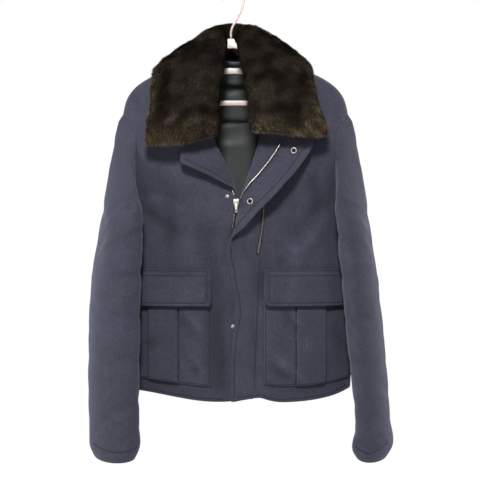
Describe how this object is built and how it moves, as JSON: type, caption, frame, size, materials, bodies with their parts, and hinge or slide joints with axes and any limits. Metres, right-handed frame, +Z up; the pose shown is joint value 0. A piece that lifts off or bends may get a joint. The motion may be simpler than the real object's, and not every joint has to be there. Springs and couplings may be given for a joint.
{
  "type": "wool jacket on a hanger",
  "caption": "Short wool jacket with a wide fur collar, turned-out lapels, a front zip and flapped patch pockets, hanging on a plastic hanger.",
  "frame": {"origin": "inside top of the hanger's hook, where it rests on a rail", "axes": "+Z up, -Y out of the jacket's front, +X towards the wearer's left"},
  "size_m": [0.6031, 0.218, 0.9457],
  "materials": {
    "wool": "soft felted nap",
    "fur": "long soft fur, browner at the tips",
    "lining": "satin",
    "metal": "polished",
    "plastic": "smooth, slightly glossy"
  },
  "bodies": {
    "jacket": {"front_right": "wool", "front_left": "wool", "placket": "wool", "back": "wool", "sleeve_right_top": "wool", "sleeve_right_under": "wool", "sleeve_left_top": "wool", "sleeve_left_under": "wool", "back_facing": "wool", "pocket_bag_right": "wool", "pocket_pleat_right": "wool", "pocket_flap_right": "wool", "pocket_bag_left": "wool", "pocket_pleat_left": "wool", "pocket_flap_left": "wool", "fur_collar": "fur", "back_lining": "lining", "hanging_loop": "lining", "zip_closed_chain": "metal", "zip_open_chain": "metal", "chest_zip_chain": "metal", "zip_slider": "metal", "chest_zip_slider": "metal", "snap_socket_1": "metal", "snap_socket_2": "metal", "snap_socket_3": "metal", "snap_socket_4": "metal", "snap_stud_1": "metal", "snap_stud_2": "metal", "snap_stud_3": "metal", "snap_stud_4": "metal", "hanger_hook": "plastic", "hanger_arms": "plastic", "hanger_upper_bar": "plastic", "hanger_lower_bar": "plastic"},
    "main_pull": {"zip_pull": "metal"},
    "chest_pull": {"chest_zip_pull": "metal"}
  },
  "joints": [
    {"name": "main_pull_swing", "type": "hinge", "parent": "jacket", "child": "main_pull", "pos_m": [0.00665, -0.09302, -0.443], "axis": [-1, 0, 0], "range_deg": [0, 150]},
    {"name": "chest_pull_swing", "type": "hinge", "parent": "jacket", "child": "chest_pull", "pos_m": [0.06199, -0.07171, -0.425], "axis": [-1, 0, 0], "range_deg": [0, 20]}
  ]
}
